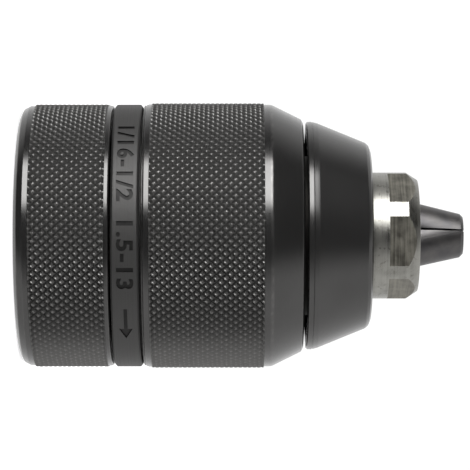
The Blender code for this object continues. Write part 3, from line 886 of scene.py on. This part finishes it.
def studio_light():
    """White backdrop with one large softbox, as a world that lights and is reflected."""
    world = bpy.data.worlds.new("studio")
    bpy.context.scene.world = world
    world.use_nodes = True
    tree = world.node_tree
    tree.nodes.clear()
    direction = add(tree, "ShaderNodeTexCoord")
    sockets = {0: direction, 3: math.radians(-SOFTBOX_DEG)}
    turned = add(tree, "ShaderNodeVectorRotate", sockets, rotation_type="Z_AXIS")
    parts = tree.nodes.new("ShaderNodeSeparateXYZ")
    tree.links.new(turned, parts.inputs[0])
    around = maths(tree, "ARCTAN2", parts.outputs[1], parts.outputs[0])
    around = maths(tree, "MULTIPLY", around, 180.0 / math.pi)
    height = maths(tree, "MULTIPLY", maths(tree, "ARCSINE", parts.outputs[2]), 180.0 / math.pi)
    side = maths(tree, "ABSOLUTE", around)
    edge = 3.0
    box = remap(tree, side, SOFTBOX_HALF_WIDTH - edge, SOFTBOX_HALF_WIDTH + edge, 1.0, 0.0)
    tall = maths(tree, "ABSOLUTE", height)
    lid = remap(tree, tall, SOFTBOX_HALF_HEIGHT - edge, SOFTBOX_HALF_HEIGHT + edge, 1.0, 0.0)
    box = maths(tree, "MULTIPLY", maths(tree, "MULTIPLY", box, lid), SOFTBOX_RADIANCE)
    room_near = remap(tree, around, 66.0, 98.0, ROOM_DARK, 1.15)
    room_far = remap(tree, around, -75.0, -45.0, 1.1, ROOM_DARK)
    room = maths(tree, "MAXIMUM", room_near, room_far)
    glow = maths(tree, "ADD", room, box)
    lit = add(tree, "ShaderNodeBackground", {1: glow})
    white = add(tree, "ShaderNodeBackground", {1: 1.05})
    for node in tree.nodes:
        if node.type == "BACKGROUND":
            node.inputs[0].default_value = (1.0, 1.0, 1.0, 1.0)
    seen = add(tree, "ShaderNodeLightPath", output=0)
    out = tree.nodes.new("ShaderNodeOutputWorld")
    tree.links.new(add(tree, "ShaderNodeMixShader", {0: seen, 1: lit, 2: white}), out.inputs[0])


def floor():
    """Plain white floor under the chuck, too bright to show its own edge."""
    bm = bmesh.new()
    bmesh.ops.create_circle(bm, cap_ends=True, segments=96, radius=600.0)
    item = from_bmesh("floor", bm)
    material = bpy.data.materials.new("floor_white")
    material.use_nodes = True
    shader = material.node_tree.nodes["Principled BSDF"]
    shader.inputs["Base Color"].default_value = (0.8, 0.8, 0.8, 1.0)
    shader.inputs["Roughness"].default_value = 0.9
    shader.inputs["Emission Color"].default_value = (1.0, 1.0, 1.0, 1.0)
    shader.inputs["Emission Strength"].default_value = 0.7
    item.data.materials.append(material)
    item.location.z = -0.02 * MM
    item.visible_glossy = False


# Scene ----------------------------------------------------------------------------------------

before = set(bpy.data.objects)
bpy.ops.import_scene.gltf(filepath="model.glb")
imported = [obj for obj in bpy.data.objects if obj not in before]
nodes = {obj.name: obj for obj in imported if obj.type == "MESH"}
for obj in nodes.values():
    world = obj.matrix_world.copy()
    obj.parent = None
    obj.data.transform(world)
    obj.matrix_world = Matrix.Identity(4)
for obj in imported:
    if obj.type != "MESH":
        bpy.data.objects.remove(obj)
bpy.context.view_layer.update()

sleeve_oxide = black_oxide("knurled_black_oxide", OXIDE_DARK, OXIDE_LIGHT, 0.19, 0.25, 0.006, 0.2)
ring_oxide = black_oxide("ring_black_oxide", OXIDE_DARK, OXIDE_LIGHT, 0.55, 0.65, 0.008, 0.06)
cap_oxide = black_oxide("smooth_black_oxide", OXIDE_DARK, OXIDE_LIGHT, 0.23, 0.27, 0.005, 0.08)
steel = turned_steel("turned_steel")
flats = milled_steel("milled_steel")
hard = jaw_steel("jaw_steel")
# Darker steel painted as shade on the body's middle under the sleeves and cap.
barrel_shade = plain_steel("barrel_shade_steel", (0.03, 0.029, 0.027, 1), (0.05, 0.048, 0.045, 1), 0.5, 0.65, 0.3)
ink = plain_steel("engraved_black", (0.026, 0.026, 0.026, 1), (0.042, 0.041, 0.04, 1), 0.55, 0.7, 0.3)
nut_steel = plain_steel("nut_steel", (0.13, 0.13, 0.13, 1), (0.2, 0.2, 0.195, 1), 0.3, 0.42, 0.3)
spring_steel = plain_steel("spring_steel", (0.24, 0.21, 0.17, 1), (0.34, 0.31, 0.26, 1), 0.28, 0.42, 0.4)
bearing_steel = plain_steel("bearing_steel", (0.58, 0.58, 0.59, 1), (0.68, 0.68, 0.69, 1), 0.08, 0.2, 0.5)

dress(rear_sleeve(), sleeve_oxide, "body", "rear_sleeve")
dress(clamping_sleeve(), sleeve_oxide, "sleeve", "clamping_sleeve")
dress(front_cap(), cap_oxide, "body", "front_cap")
ring = marking_ring()
dress(ring, ring_oxide, "body", "marking_ring")
paint_marks(ring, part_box("marking_ring")[1].x / MM, ink)
body = chuck_body()
dress(body, steel, "body", "chuck_body")
paint_body(body, flats, barrel_shade)
for number, clock in enumerate(JAW_CLOCK_DEG, 1):
    dress(jaw(number, clock), hard, f"jaw_{number}", f"jaw_{number}")

for name in ("nut_half_a", "nut_half_b"):
    dress(nodes[name], nut_steel)
for name in ("nut_band", "cam_ring", "pawl", "ball_cage"):
    dress(nodes[name], spring_steel)
balls = [name for name in nodes if name.startswith("ball_") and name != "ball_cage"]
for name in ["nut_race", "ratchet_race", "pawl_rivet"] + balls:
    dress(nodes[name], bearing_steel)

studio_light()
floor()
camera()
bpy.context.scene.view_settings.view_transform = "Standard"
